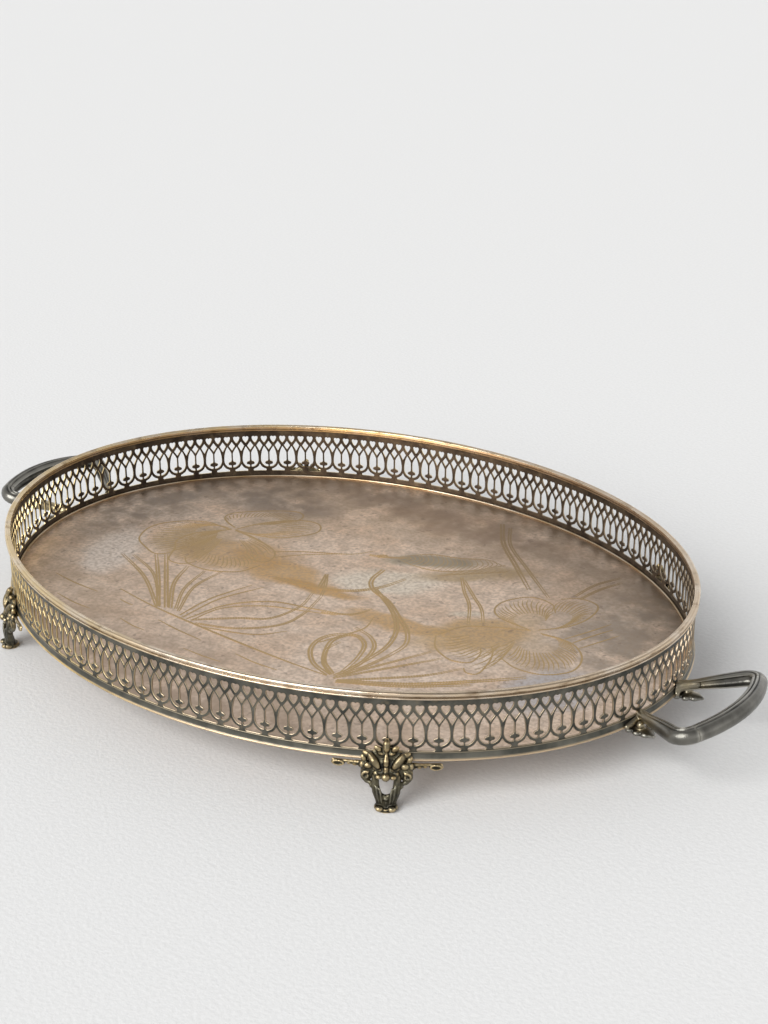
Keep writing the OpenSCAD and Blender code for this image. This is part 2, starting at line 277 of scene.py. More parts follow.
# Patches that are still bright or worn through to the brass, and a painted highlight across the middle of
# the floor, as centre, size, turn, colour and strength
RUBBED_AND_SHEEN = [
    # The first patch, a whitish band across the middle of the floor, is a painted highlight
    ((10, 26), (30, 13), 30, "#E9E0D0", 0.75), ((-138, -36), (14, 30), 20, "#EAE0D6", 0.7),
    ((-46, 2), (30, 13), -5, "#CCA670", 0.85), ((-14, -4), (28, 6), 12, "#C79E60", 0.85),
    ((-78, 2), (34, 17), 35, "#C49E68", 0.75), ((-112, 6), (20, 26), 10, "#B89F78", 0.65),
    ((50, -10), (34, 7), 14, "#C9A268", 0.8), ((90, 4), (32, 18), 55, "#C8A672", 0.8),
    ((45, 62), (30, 8), 48, "#B0986F", 0.75), ((18, 66), (26, 8), 34, "#8E8874", 0.8),
    ((152, -22), (26, 16), 60, "#B9B9BE", 0.7), ((70, 24), (10, 5), 40, "#E2D8C6", 0.6),
    ((124, 4), (20, 18), 30, "#BCA27A", 0.3), ((96, 40), (10, 8), 30, "#BFA67E", 0.4),
    ((-84, 46), (24, 20), 30, "#B09A78", 0.4),
]


def tarnish(material, where):
    """The colours of old rolled plate: pinkish grey with smoky stains, darker along the back, whiter where
    it is still polished and golden where the brass shows through, with painted shade along the front wall
    and a painted highlight across the middle."""
    ragged = wavy(material, where, 26, 15)
    patchy = grain(material, ragged, 14, 8, contrast=(0.34, 0.54))
    tint = coats(
        material, "#E6CEB8",
        ("#F0DCC9", grain(material, where, 40, 6)),
        ("#DFC1A5", grain(material, where, 16, 6, contrast=(0.45, 0.62)), 0.55),
        ("#B5A18E", grain(material, where, 5, 8, contrast=(0.44, 0.6)), 0.42),
        # Darker towards the back, in patches
        ("#97846F", rising(material, ragged, "Y", 45, 120), patchy, 0.66),
    )
    blotches = grain(material, where, 9, 6, contrast=(0.3, 0.55))
    # Stains, the darker back strip, and painted shade along the front wall
    for centre, size, darker_tint, most in DARK_PATCHES_AND_SHADE:
        tint = coats(material, tint, (darker_tint, spot(material, ragged, centre, size), blotches, most))
    # Polish, wear through to the brass, and the painted highlight in the middle
    for centre, size, turn, bare, most in RUBBED_AND_SHEEN:
        tint = coats(material, tint, (bare, spot(material, ragged, centre, size, turn, 0.35), most))
    # Small dark specks and a fine grain, one to two millimetres across
    return coats(
        material, tint,
        ("#7C6C62", grain(material, where, 2.2, 1, contrast=(0.68, 0.74)), 0.45),
        ("#A8947F", grain(material, where, 1.3, 3, contrast=(0.42, 0.6)), 0.42),
    )


def silver_plate():
    """Silver-plated brass sheet, rolled and rubbed: a soft broad sheen broken by tarnish and bare brass."""
    material, where = new_material("silver plate, tarnished and rubbed", Metallic=1.0)
    surface(material, tarnish(material, where), bump=(grain(material, where, 3, 5), 0.05, 0.6),
            roughness=(grain(material, where, 12, 5), 0.38, 0.5))
    return material


def rivet_metal():
    """Brass rivets: flush silvered tops in the plate, dull domes under it."""
    material, where = new_material("brass rivet, silvered top", Metallic=1.0)
    tint = coats(
        material, "#6E5C3E",
        ("#A5895A", grain(material, where, 2, 3)),
        (tarnish(material, where), rising(material, where, "Z", plate_low + 0.1, plate_low + 0.3)),
    )
    surface(material, tint, bump=(grain(material, where, 3, 5), 0.05, 0.6),
            roughness=(grain(material, where, 12, 5), 0.38, 0.5))
    return material


def engraving_metal():
    """Wriggle-cut lines: the graver bared the brass, so they are matt gold, dimmer along the back."""
    material, where = new_material("engraved brass line", Metallic=1.0, Roughness=0.42)
    tint = coats(
        material, "#B2976B",
        ("#C0A374", grain(material, where, 30, 4)),
        ("#94826A", spot(material, wavy(material, where, 30, 12), (20, 130), (170, 62), 0, 0.6), 0.6),
    )
    surface(material, tint, bump=(grain(material, where, 0.9, 2), 0.04, 0.6))
    return material


def gallery_face(name, dark, light, roughness):
    """Face of the piercing, blackened brass: dark and half matt, with a worn grey bloom."""
    material, where = new_material(name, Metallic=0.8, Roughness=roughness)
    tint = coats(
        material, dark,
        (light, grain(material, where, 5, 5)),
        ("#7A6E58", grain(material, where, 1.8, 4, contrast=(0.55, 0.75)), 0.5),
    )
    surface(material, tint, bump=(grain(material, where, 1.2, 3), 0.06, 0.7))
    return material


def side_tint(material, where, golden, plain):
    """Golden at the left of the tray, plainer from its middle to its right end."""
    return coats(material, golden, (plain, rising(material, wavy(material, where, 60, 25), "X", -110, 60)))


def cut_edge():
    """Saw-cut edges of the piercing, rubbed bright: yellow brass to the left, silvery to the right; the
    left is also painted lighter, as light from the lamp at the front left.
    """
    material, where = new_material("brass, saw cut and rubbed, painted light at the left", Metallic=1.0, Roughness=0.42)
    tint = coats(
        # The lighter left of the tint is partly painted light from the lamp at the front left
        material, side_tint(material, where, "#DCC592", "#A69680"),
        ("#6E6049", grain(material, where, 3.2, 4, contrast=(0.5, 0.68)), 0.45),
    )
    surface(material, tint, bump=(grain(material, where, 1, 2), 0.05, 0.5))
    return material


def rail_metal():
    """Drawn brass rail, its plating worn off in streaks: glossy, gold at the left, beige silver at the
    right."""
    material, where = new_material("brass rail, worn plating", Metallic=1.0)
    tint = coats(
        material, side_tint(material, where, "#D4BD92", "#C8B49A"),
        # Streaks of plating and stains are longer along the rail than up it
        ("#D8CBBB", grain(material, where, 9, 5, (1, 1, 3), (0.45, 0.62)), 0.6),
        ("#7E6648", grain(material, where, 5, 5, (1, 1, 4), (0.56, 0.72)), 0.7),
        # Darker in the groove between the two beads
        ("#5C4B38", near_level(material, where, rail_low + 1.25, 0.35), 0.8),
    )
    surface(material, tint, bump=(grain(material, where, 7, 4), 0.08, 0.6),
            roughness=(grain(material, where, 8, 4), 0.2, 0.36))
    return material


def edge_metal():
    """Blackened flange under the gallery, with a painted highlight along its top lip and a bright brass
    bead along its foot."""
    material, where = new_material("flange, blackened, painted lip highlight, brass bead", Metallic=0.9, Roughness=0.38)
    bead = rising(material, where, "Z", plate_low + 1.5, plate_low + 0.9)
    tint = coats(
        material, "#4A4A44",
        ("#6A685F", grain(material, where, 6, 5)),
        # Painted highlight along the rounded top lip
        ("#9C917C", near_level(material, where, plate_low + FLANGE_H - 0.15, 0.35), 0.75),
        (side_tint(material, where, "#E0C283", "#C4AE90"), bead,
         grain(material, where, 12, 5, (1, 1, 2), (0.2, 0.5))),
    )
    surface(material, tint, bump=(grain(material, where, 3, 4), 0.06, 0.7))
    return material


def bead_metal():
    """Fine drawn wire soldered round the floor, silvered: bright, with brass showing in places."""
    material, where = new_material("brass wire, silvered", Metallic=1.0, Roughness=0.28)
    tint = coats(material, "#C7B9A4", ("#A58C66", grain(material, where, 12, 4)))
    surface(material, tint, bump=(grain(material, where, 3, 3), 0.03, 0.5))
    return material


def cast_brass():
    """Antique cast brass: gold on the mask's high places and the soles, greyer on the legs, black patina
    in the hollows, pitted skin."""
    material, where = new_material("antique cast brass", Metallic=0.95, Roughness=0.33)
    hollow = add_node(
        material, "ShaderNodeAmbientOcclusion", {"Distance": 4.5 * MM}, samples=8, only_local=True)
    outer = add_node(material, "ShaderNodeMapRange", {
        "Value": hollow.outputs["AO"], "From Min": 0.42, "From Max": 0.82}, interpolation_type="SMOOTHSTEP")
    gold = coats(material, "#BFA476", ("#E2CDA0", grain(material, where, 4, 4)))
    bare = coats(
        material, "#8C8878",
        (gold, rising(material, where, "Z", 3.2, 1.8)),
        (gold, rising(material, where, "Z", 13.5, 18.5)),
    )
    tint = coats(
        material, "#2C2B26",
        ("#55503F", grain(material, where, 3, 4)),
        (bare, ridges(material, 0.497, 0.556), outer.outputs["Result"]),
    )
    surface(material, tint, bump=(grain(material, where, 0.9, 3), 0.12, 0.8))
    return material


def handle_pewter():
    """Cast pewter gone gunmetal: dark grey, paler on the ridges, brassy where it meets the tray."""
    material, where = new_material("cast pewter, darkened", Metallic=0.95, Roughness=0.3)
    across = add_node(material, "ShaderNodeSeparateXYZ", {0: where}).outputs["X"]
    reach = add_node(material, "ShaderNodeMath", {0: across}, operation="ABSOLUTE").outputs[0]
    # The brassy tint is full 4 mm beyond the brackets and gone at 22 mm
    root = add_node(material, "ShaderNodeMapRange", {
        "Value": reach, "From Min": (pivot_x + 22) * MM, "From Max": (pivot_x + 4) * MM},
        interpolation_type="SMOOTHSTEP").outputs["Result"]
    tint = coats(
        material, "#454440",
        ("#6E6C66", grain(material, where, 6, 4)),
        ("#B0ADA3", ridges(material, 0.5, 0.56), 0.6),
        ("#A09274", root, grain(material, where, 7, 5, contrast=(0.3, 0.6)),
         rising(material, where, "Z", plate_low - 1.5, plate_low + 0.5), 0.85),
    )
    surface(material, tint, bump=(grain(material, where, 1.4, 3), 0.06, 0.6))
    return material


# ---- Making pieces ----

def finish_piece(name, bm, materials, slot, *nodes, sharp=35, clean=0.005):
    """A piece from a bmesh in millimetres: welded, facing out, riding on the root."""
    bmesh.ops.remove_doubles(bm, verts=bm.verts[:], dist=clean)
    bmesh.ops.dissolve_degenerate(bm, edges=bm.edges[:], dist=clean / 5)
    bmesh.ops.recalc_face_normals(bm, faces=bm.faces[:])
    bmesh.ops.scale(bm, verts=bm.verts[:], vec=(MM, MM, MM))
    mesh = bpy.data.meshes.new(name)
    bm.to_mesh(mesh)
    bm.free()
    mesh.shade_smooth()
    mesh.set_sharp_from_angle(angle=math.radians(sharp))
    piece = bpy.data.objects.new(name, mesh)
    bpy.context.scene.collection.objects.link(piece)
    for material in materials:
        mesh.materials.append(material)
    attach(piece, "root")
    if nodes:
        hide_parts(*nodes)
    return piece


def as_mesh(obj):
    """The finished shape of a curve, or of an object with its modifiers, as a bmesh; the object goes."""
    bpy.context.scene.collection.objects.link(obj)
    depsgraph = bpy.context.evaluated_depsgraph_get()
    mesh = bpy.data.meshes.new_from_object(obj.evaluated_get(depsgraph))
    bm = bmesh.new()
    bm.from_mesh(mesh)
    bpy.data.objects.remove(obj)
    bpy.data.meshes.remove(mesh)
    return bm


def cut_across(bm, place, direction, drop=True):
    """Cuts everything along a plane, and drops what is beyond it."""
    bmesh.ops.bisect_plane(bm, geom=bm.verts[:] + bm.edges[:] + bm.faces[:], dist=ON_PLANE,
                           plane_co=place, plane_no=direction, clear_outer=drop)


def sweep(bm, section, frames, closed=False):
    """Carries an outline through the frames, one extrusion at a time."""
    cap = bm.faces.new([bm.verts.new(frames[0] @ Vector((x, y, 0))) for x, y in section])
    first = cap
    steps = list(zip(frames, frames[1:]))
    if closed:
        steps.append((frames[-1], frames[0]))
    for before, after in steps:
        made = bmesh.ops.extrude_face_region(bm, geom=[cap])["geom"]
        verts = [g for g in made if isinstance(g, bmesh.types.BMVert)]
        bmesh.ops.transform(bm, matrix=after @ before.inverted(), verts=verts)
        cap = [g for g in made if isinstance(g, bmesh.types.BMFace)][0]
    if closed:
        bmesh.ops.delete(bm, geom=[first, cap], context="FACES_ONLY")
        bmesh.ops.remove_doubles(bm, verts=bm.verts[:], dist=0.001)


# A section is drawn with X out of the wall and Y up; this stands it up
STAND = Matrix(((1, 0, 0, 0), (0, 0, -1, 0), (0, 1, 0, 0), (0, 0, 0, 1)))


def round_the_wall(steps):
    """Frames for a section that runs right round the tray."""
    whole = 4 * quarter_len
    return [wall_frame(whole * i / steps) @ STAND for i in range(steps)]


# ---- Floor ----

def ribbons(strokes):
    """Flat raised lines with serrated edges; a stroke is its points, its width and the share of the width
    left at its start and end."""
    # The section is 1 wide, and each stroke's width scales it
    half_t = 0.06
    broad, narrow = 1.12, 0.55
    flat = bpy.data.curves.new("ribbon section", "CURVE")
    edge = flat.splines.new("POLY")
    edge.points.add(3)
    for point, (x, y) in zip(edge.points, ((-0.5, -half_t), (0.5, -half_t), (0.5, half_t), (-0.5, half_t))):
        point.co = (x, y, 0, 1)
    edge.use_cyclic_u = True
    section = bpy.data.objects.new("ribbon section", flat)
    lines = bpy.data.curves.new("ribbons", "CURVE")
    lines.dimensions = "3D"
    lines.twist_mode = "Z_UP"
    lines.bevel_mode = "OBJECT"
    lines.bevel_object = section
    lines.use_fill_caps = True
    for points, width, start, end in strokes:
        path = smooth_path(points, TOOTH)
        spline = lines.splines.new("POLY")
        spline.points.add(len(path) - 1)
        for i, (point, (x, y)) in enumerate(zip(spline.points, path)):
            share = i / (len(path) - 1)
            swell = start + (1 - start) * min(1, 3 * share)
            swell *= end + (1 - end) * min(1, 3 * (1 - share))
            point.co = (x, y, plate_high, 1)
            point.radius = width * swell * (broad if i % 2 else narrow)
    bm = as_mesh(bpy.data.objects.new("ribbons", lines))
    bpy.data.objects.remove(section)
    return bm


def smooth_path(points, step):
    """A smooth line through the points (a Catmull-Rom spline), cut to even steps."""
    before = Vector(points[0]) * 2 - Vector(points[1])
    beyond = Vector(points[-1]) * 2 - Vector(points[-2])
    knots = [before] + [Vector(p) for p in points] + [beyond]
    dense = [knots[1]]
    for a, b, c, d in zip(knots, knots[1:], knots[2:], knots[3:]):
        for i in range(1, 17):
            t = i / 16
            dense.append(0.5 * (2 * b + (c - a) * t + (2 * a - 5 * b + 4 * c - d) * t * t
                                + (3 * b - a - 3 * c + d) * t ** 3))
    run = np.concatenate([[0], np.cumsum([(q - p).length for p, q in zip(dense, dense[1:])])])
    count = max(3, round(run[-1] / step))
    at = np.linspace(0, run[-1], count + 1)
    return list(zip(np.interp(at, run, [p.x for p in dense]), np.interp(at, run, [p.y for p in dense])))


def ribs(edge, heart, count, reach, width=0.8):
    """Fine bowed lines from just inside a petal's edge towards its heart."""
    bow = 0.06
    inset = 0.08
    rim = smooth_path(edge, 1.0)
    lines = []
    for i in range(count):
        x, y = rim[round((i + 0.5) / count * (len(rim) - 1))]
        inner = (x + (heart[0] - x) * reach, y + (heart[1] - y) * reach)
        bend = ((x + inner[0]) / 2 + bow * (inner[1] - y), (y + inner[1]) / 2 - bow * (inner[0] - x))
        start = (x + (heart[0] - x) * inset, y + (heart[1] - y) * inset)
        lines.append(([start, bend, inner], width, 0.3, 0.6))
    return lines


LEFT_HEART = (-104, 28)
RIGHT_HEART = (108, 28)
PETALS = [
    # Petal's edge, heart, number of ribs and their reach
    ([(-106, 26), (-124, 26), (-139, 15), (-145, 1), (-139, -15), (-127, -22), (-115, -25), (-110, -16),
      (-119, -4), (-118, 11)], LEFT_HEART, 34, 0.5),
    ([(-106, 26), (-118, 10), (-119, -4), (-112, -13), (-104, -26), (-94, -26), (-90, -19)],
     LEFT_HEART, 24, 0.62),
    ([(-99, -18), (-92, -23), (-77, -23), (-62, -14), (-58, 0)], LEFT_HEART, 16, 0.3),
    ([(-102, 27), (-82, 25), (-66, 20), (-59, 12), (-60, 4), (-72, 3)], LEFT_HEART, 14, 0.55),
    ([(-103, 29), (-96, 47), (-82, 62), (-69, 64), (-63, 53), (-75, 35), (-91, 29), (-103, 28)],
     LEFT_HEART, 24, 0.4),
    ([(-105, 30), (-119, 36), (-121, 45), (-110, 58), (-94, 70), (-85, 68), (-84, 58), (-96, 46)],
     LEFT_HEART, 30, 0.3),
    ([(71, -6), (76, 9), (88, 18), (106, 27)], (80, -10), 3, 0.2),
    ([(71, -8), (78, -18), (86, -23), (94, -25), (102, -21), (101, -11), (97, -5)], RIGHT_HEART, 14, 0.3),
    ([(103, -28), (107, -31), (112, -28), (109, -14), (104, -4), (101, -1)], RIGHT_HEART, 8, 0.45),
    ([(113, 27), (130, 28), (143, 18), (147, 3), (138, -9), (124, -12), (112, -8)], RIGHT_HEART, 26, 0.42),
    ([(104, 27), (86, 29), (77, 36), (76, 48), (84, 60), (97, 60), (105, 52)], RIGHT_HEART, 24, 0.42),
    ([(109, 30), (119, 43), (122, 59), (118, 73), (106, 75), (98, 68)], RIGHT_HEART, 24, 0.36),
]
BLADES = [
    # Leaves and stems, as points and width
    ([(-65, -73), (-87, -51), (-115, -25)], 2.0), ([(-61, -71), (-84, -48), (-110, -22)], 2.2),
    ([(-59, -70), (-79, -47), (-89, -26)], 2.0), ([(-56, -69), (-70, -48), (-77, -25)], 1.6),
    ([(-53, -70), (-67, -44), (-69, -20)], 1.6), ([(-66, -73), (-98, -51), (-130, -37)], 1.8),
    ([(-66, -71), (-97, -45), (-124, -34)], 1.5), ([(-49, -73), (-50, -48), (-44, -22)], 1.3),
    ([(-46, -74), (-46, -46), (-37, -20)], 1.3),
    ([(-43, -74), (-38, -49), (-22, -31), (0, -24), (23, -17)], 1.4),
    ([(-40, -74), (-37, -53), (-21, -37), (-2, -29), (16, -22)], 1.2),
    ([(-40, -73), (-23, -57), (-9, -46), (-6, -26), (-12, -8)], 1.6),
    ([(-36, -75), (-15, -66), (0, -49), (1, -31), (-5, -10)], 1.6),
    ([(-30, -76), (-4, -66), (8, -52)], 1.2),
    ([(-41, -7), (-28, -6), (-12, -2), (4, 7), (13, 20), (17, 36)], 2.2),
    ([(-21, 14), (-16, 4), (-12, -5)], 2.0), ([(-21, 14), (-12, 2), (-5, -10)], 1.6),
    ([(-65, 18), (-51, 29), (-28, 43), (-20, 55)], 1.2), ([(-59, 13), (-48, 26), (-32, 40)], 1.0),
    ([(0, 38), (3, 24), (11, 15), (27, 8), (44, -4), (56, -13), (65, -26), (66, -42)], 2.4),
    ([(12, 16), (35, 1), (50, -14), (58, -30), (60, -46), (59, -71)], 2.2),
    ([(66, -40), (64, -56), (60, -72)], 1.8),
    ([(56, -73), (43, -64), (33, -46), (37, -34), (48, -38), (55, -52), (59, -71)], 2.2),
    ([(58, -74), (60, -57), (55, -39), (45, -30), (33, -27)], 2.0),
    ([(55, -75), (41, -70), (30, -59), (27, -47), (31, -38), (38, -34)], 2.2),
    ([(56, -74), (45, -67), (37, -55), (37, -44)], 1.6),
    ([(29, -51), (34, -36), (37, -24), (33, -12)], 1.2),
    ([(7, -24), (16, -20), (23, -14), (26, -4)], 1.5), ([(15, 132), (32, 109), (55, 88), (78, 67)], 2.4),
    ([(22, 130), (37, 109), (63, 88), (92, 65)], 1.8), ([(102, 76), (103, 94), (109, 111)], 1.6),
    ([(106, 74), (108, 91), (113, 106)], 1.6), ([(59, -76), (77, -46), (89, -26)], 1.5),
    ([(60, -72), (73, -41), (80, -24)], 1.5), ([(63, -76), (91, -48), (103, -29)], 1.6),
    ([(62, -77), (92, -58), (119, -32), (133, -17)], 2.4), ([(62, -78), (90, -62), (116, -40)], 2.2),
    ([(40, 57), (52, 43), (64, 31), (77, 12)], 1.6), ([(43, 55), (60, 41), (72, 31), (83, 17)], 1.6),
    ([(-19, 49), (-12, 51), (-5, 55), (2, 60)], 1.6), ([(-14, 50), (-11, 53), (-9, 52)], 3.0),
]
GROUND = [
    # Bank and ripples
    ([(-97, -70), (-68, -74), (-32, -76), (6, -77), (34, -77), (55, -76)], 1.3),
    ([(-54, -84), (-38, -86), (-20, -87)], 0.9), ([(-21, -99), (-8, -99), (4, -98)], 0.8),
    ([(4, -87), (18, -88), (32, -87)], 0.9), ([(-88, -79), (-82, -80), (-77, -80)], 0.8),
    ([(-71, -95), (-60, -97), (-51, -97)], 0.8), ([(-140, -78), (-122, -80), (-104, -80)], 0.9),
    ([(-120, -95), (-105, -97), (-92, -97)], 0.8), ([(-30, -112), (-12, -113), (8, -112)], 0.8),
    ([(40, -98), (56, -98), (70, -96)], 0.8), ([(124, 27), (130, 43), (135, 59)], 0.9),
    ([(130, 26), (134, 40), (139, 54)], 0.9), ([(136, 24), (141, 38), (145, 50)], 0.8),
]


def bird_feathers():
    """Short feather cuts laid over the body of the wading bird."""
    back = smooth_path([(-4, 58), (8, 71), (24, 77), (38, 85), (48, 84)], 1.0)
    belly = smooth_path([(-3, 55), (10, 53), (25, 56), (40, 69), (48, 82)], 1.0)
    cuts = []
    for i in range(22):
        share = (i + 0.5) / 22
        top = back[round(share * (len(back) - 1))]
        low = belly[round(share * (len(belly) - 1))]
        middle = ((top[0] + low[0]) / 2 + 3, (top[1] + low[1]) / 2 + 2)
        cuts.append(([top, middle, low], 0.6, 0.5, 0.4))
    for line in (back[::6], belly[::6]):
        cuts.append((line, 1.1, 0.3, 0.3))
    # Flight feathers step back along the wing
    for i in range(9):
        x = 28 + 2.8 * i
        cuts.append(([(x, 50 + 2.9 * i), (x + 4, 56 + 2.7 * i), (x + 5, 62 + 2.4 * i)], 0.8, 0.3, 0.7))
    return cuts


def engraving():
    """Two irises with their blades, a bank with ripples and a wading bird."""
    fine_leaf = 1.4
    apart = 0.36
    strokes = []
    for points, width in BLADES:
        # A leaf broader than a fine one is two cuts side by side
        for side in ((-apart, apart) if width > fine_leaf else (0,)):
            path = smooth_path(points, 4)
            shifted = []
            for i, (x, y) in enumerate(path):
                ahead = Vector(path[min(i + 1, len(path) - 1)]) - Vector(path[max(i - 1, 0)])
                normal = Vector((-ahead.y, ahead.x)).normalized() * side * width
                shifted.append((x + normal.x, y + normal.y))
            strokes.append((shifted, width * (0.62 if side else 1.05), 0.85, 0.4))
    strokes += [(points, width * 1.2, 0.5, 0.5) for points, width in GROUND]
    for edge, heart, count, reach in PETALS:
        strokes.append((edge, LINE_W * 0.9, 0.7, 0.7))
        strokes += ribs(edge, heart, round(1.1 * count), min(0.75, 1.15 * reach))
    strokes += bird_feathers()
    return finish_piece("engraving", ribbons(strokes), [engraving_metal()], "silver_plate", sharp=60)


# ---- Gallery ----

CORNER = "corner"


def pierced_cell():
    """One unit of the piercing, flat: X along the wall, Y up from the plate's underside."""
    half = pitch / 2
    flat = bpy.data.curves.new("cell", "CURVE")
    flat.dimensions = "2D"
    flat.fill_mode = "BOTH"
    flat.resolution_u = 3

    def cut(points, x=0.0):
        spline = flat.splines.new("BEZIER")
        spline.bezier_points.add(len(points) - 1)
        for knot, point in zip(spline.bezier_points, points):
            knot.co = (point[0] + x, point[1], 0)
            kind = "VECTOR" if CORNER in point else "AUTO"
            knot.handle_left_type = kind
            knot.handle_right_type = kind
        spline.use_cyclic_u = True

    def both_sides(right):
        """An outline from its right half, from the top of the axis round to its foot."""
        left = [(-p[0], *p[1:]) for p in reversed(right) if p[0] != 0]
        return right + left

    low = plate_high - plate_low
    high = wall_h + RAIL_SLOT
    wide = 0.93 * pitch
    cut([(wide, low, CORNER), (wide, high, CORNER), (-wide, high, CORNER), (-wide, low, CORNER)])
    # Two arches to a unit, parted by a stem with a flat knob on it
    arch = [
        (0.45, 17.2, CORNER), (1.3, 18.9), (half / 2, 21.4, CORNER), (half - 1.75, 19.0),
        (half - 1.15, 16.6), (half - 0.8, 13.6), (half - 1.05, 10.8), (3.45, 8.8), (2.0, 7.8),
        (0.62, 7.5, CORNER), (0.58, 8.9), (1.3, 9.2), (2.15, 9.5), (2.45, 10.3), (1.9, 11.1),
        (0.8, 11.5), (0.45, 12.6, CORNER),
    ]
    cut(arch)
    cut([(-p[0], *p[1:]) for p in reversed(arch)])
    for side in (-1, 1):
        # Hearts under the top band
        cut(both_sides([(0, 27.75, CORNER), (1.0, 28.15), (1.8, 27.6), (1.7, 26.3), (0.95, 24.8),
                        (0, 23.7, CORNER)]), side * half / 2)
        # Tents between the arches
        cut(both_sides([(0, 9.5, CORNER), (1.3, 7.5), (2.9, 6.5), (4.1, 5.7), (3.7, 4.9, CORNER)]),
            side * half)
    # Lozenges between the hearts, a little lower
    for x, foot in ((-half, 18.2), (0, 19), (half, 18.2)):
        cut([(0, 24.7, CORNER), (1.95, 21.9, CORNER), (0, foot, CORNER), (-1.95, 21.9, CORNER)], x)
    bm = as_mesh(bpy.data.objects.new("cell", flat))
    bmesh.ops.remove_doubles(bm, verts=bm.verts[:], dist=0.002)
    for side in (1, -1):
        cut_across(bm, (side * half, 0, 0), (side, 0, 0))
    # Only the outline's own corners stay on the seams, so that neighbouring units join
    for at in (-half, half):
        seam = {v for v in bm.verts if abs(v.co.x - at) < 0.001}
        spare = [v for v in seam if all(e.other_vert(v) in seam for e in v.link_edges if e.is_boundary)]
        bmesh.ops.dissolve_verts(bm, verts=spare)
    # Upright cuts let the flat face bend round the oval
    for at in (-half / 2, 0, half / 2):
        cut_across(bm, (at, 0, 0), (1, 0, 0), drop=False)
    return bm


def gallery_strip():
    """A quarter of the gallery, flat; material 0 is its outer face, 1 the cut edges, 2 its inner face."""
    upright = 0.3
    bm = pierced_cell()
    cell = bm.verts[:] + bm.edges[:] + bm.faces[:]
    for i in range(-1, PER_QUARTER + 1):
        made = bmesh.ops.duplicate(bm, geom=cell)["geom"]
        verts = [g for g in made if isinstance(g, bmesh.types.BMVert)]
        bmesh.ops.translate(bm, verts=verts, vec=((i + 0.5) * pitch, 0, 0))
    bmesh.ops.delete(bm, geom=[g for g in cell if isinstance(g, bmesh.types.BMVert)], context="VERTS")
    bmesh.ops.remove_doubles(bm, verts=bm.verts[:], dist=0.004)
    for face in bm.faces:
        face.material_index = 0
        if face.normal.z < 0:
            face.normal_flip()
    rim = bmesh.ops.inset_region(bm, faces=bm.faces[:], thickness=CHAMFER, depth=0,
                                 use_boundary=True, use_even_offset=False)["faces"]
    for face in rim:
        face.material_index = 1
    for vert in bm.verts:
        if vert.is_boundary:
            vert.co.z = -0.6 * CHAMFER
    for at, side in ((quarter_len, 1), (0, -1)):
        cut_across(bm, (at, 0, 0), (side, 0, 0))
    made = bmesh.ops.extrude_face_region(bm, geom=bm.faces[:])["geom"]
    backs = {g for g in made if isinstance(g, bmesh.types.BMFace)}
    for vert in (g for g in made if isinstance(g, bmesh.types.BMVert)):
        vert.co.z = -GALLERY_T - vert.co.z
    for face in bm.faces:
        face.normal_update()
        if face in backs:
            face.material_index = 2
        elif abs(face.normal.z) < upright:
            face.material_index = 1
    return bm


def gallery_pieces():
    """The flat quarter is bent round the wall and mirrored into its four copies."""
    materials = [
        gallery_face("brass, oxidised green black", "#3D3D38", "#646158", 0.46), cut_edge(),
        gallery_face("brass, oxidised brown black", "#352D26", "#54493C", 0.45),
    ]
    flat = gallery_strip()
    for vert in flat.verts:
        along, up, out = vert.co
        place = wall_frame(min(max(along, 0), quarter_len - 1e-6))
        vert.co = place @ Vector((out, 0, plate_low + up))
    bmesh.ops.recalc_face_normals(flat, faces=flat.faces[:])
    for quarter, signs in QUARTERS.items():
        bm = flat.copy()
        bmesh.ops.transform(bm, matrix=in_quarter(signs), verts=bm.verts[:])
        finish_piece(f"gallery_{quarter}_pierced", bm, materials, "oxidised_gallery", f"gallery_{quarter}",
                     sharp=28, clean=0.002)
    flat.free()


# ---- Rail, flange and wire ----

def arc(cx, cy, radius, start, end, steps):
    """Points round part of a circle, in degrees."""
    turns = [math.radians(start + (end - start) * i / steps) for i in range(steps + 1)]
    return [(cx + radius * math.cos(t), cy + radius * math.sin(t)) for t in turns]


def rims():
    """The rail, the flange and the inner wire, each a section that runs right round."""
    stations = 8 * PER_QUARTER
    inner = -GALLERY_T - RAIL_IN
    slot = rail_low + RAIL_SLOT
    # Two beads with a groove between them, and a slot for the gallery underneath
    rail = [(0.05, slot), (0.05, rail_low), (rail_out - 0.55, rail_low)]
    rail += arc(rail_out - 0.55, rail_low + 0.45, 0.45, -60, 80, 5)
    rail += arc(rail_out - 0.6, rail_low + 1.1, 0.2, -80, -260, 4)
    rail += arc(rail_out - 1.1, rail_high - 1.1, 1.1, -70, 128, 12)
    rail += arc(inner + 0.62, rail_high - 0.8, 0.62, 70, 180, 6)
    rail += [(inner, rail_low + 0.3), (inner + 0.3, rail_low)]
    rail += [(-GALLERY_T - 0.05, rail_low), (-GALLERY_T - 0.05, slot)]
    bm = bmesh.new()
    sweep(bm, rail, round_the_wall(stations), closed=True)
    finish_piece("top_rail_moulded", bm, [rail_metal()], "rail_brass", "top_rail", sharp=50)

    # Flares from the gallery's face out to a bead level with the plate
    base = plate_low
    flange = [(0.02, base + FLANGE_H), (0.02, base + 0.05), (edge_out - 0.5, base + 0.05)]
    flange += arc(edge_out - 0.55, base + 0.6, 0.55, -80, 75, 6)
    flange += [(edge_out - 0.55, base + 1.35), (0.55, base + 2.2), (0.36, base + 3.2)]
    flange += [(0.36, base + FLANGE_H - 0.5)]
    flange += arc(0.25, base + FLANGE_H - 0.25, 0.25, -10, 90, 3)
    bm = bmesh.new()
    sweep(bm, flange, round_the_wall(stations), closed=True)
    finish_piece("edge_flange", bm, [edge_metal()], "wire_brass", "edge_wire", sharp=50)

    wire = arc(-GALLERY_T - 0.6, plate_high + 0.42, 0.58, 0, 330, 11)
    bm = bmesh.new()
    sweep(bm, wire, round_the_wall(stations), closed=True)
    finish_piece("inner_wire_round", bm, [bead_metal()], "wire_brass", "inner_wire", sharp=60)


# ---- Feet ----

